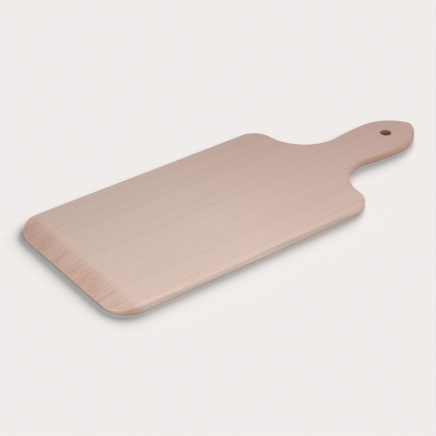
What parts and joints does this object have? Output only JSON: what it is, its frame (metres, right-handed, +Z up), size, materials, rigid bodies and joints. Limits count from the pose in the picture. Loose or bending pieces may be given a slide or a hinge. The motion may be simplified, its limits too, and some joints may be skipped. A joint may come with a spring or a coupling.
{
  "type": "spaetzle board",
  "caption": "Flat beech spaetzle board: a rounded rectangular blade with a bevelled front scraping edge, a necked handle that swells to a pointed end, and a hanging hole.",
  "frame": {"origin": "middle of the board's length and width, on the flat underside", "axes": "+X along the length towards the handle's nose, +Y to the right of the cook who holds the handle, +Z up out of the bevelled face"},
  "size_m": [0.385, 0.16, 0.009],
  "materials": {
    "beech": "sanded smooth, unoiled, matte"
  },
  "bodies": {
    "root": {"left_edge_stave": "beech", "left_handle_stave": "beech", "right_handle_stave": "beech", "right_edge_stave": "beech"}
  },
  "joints": []
}
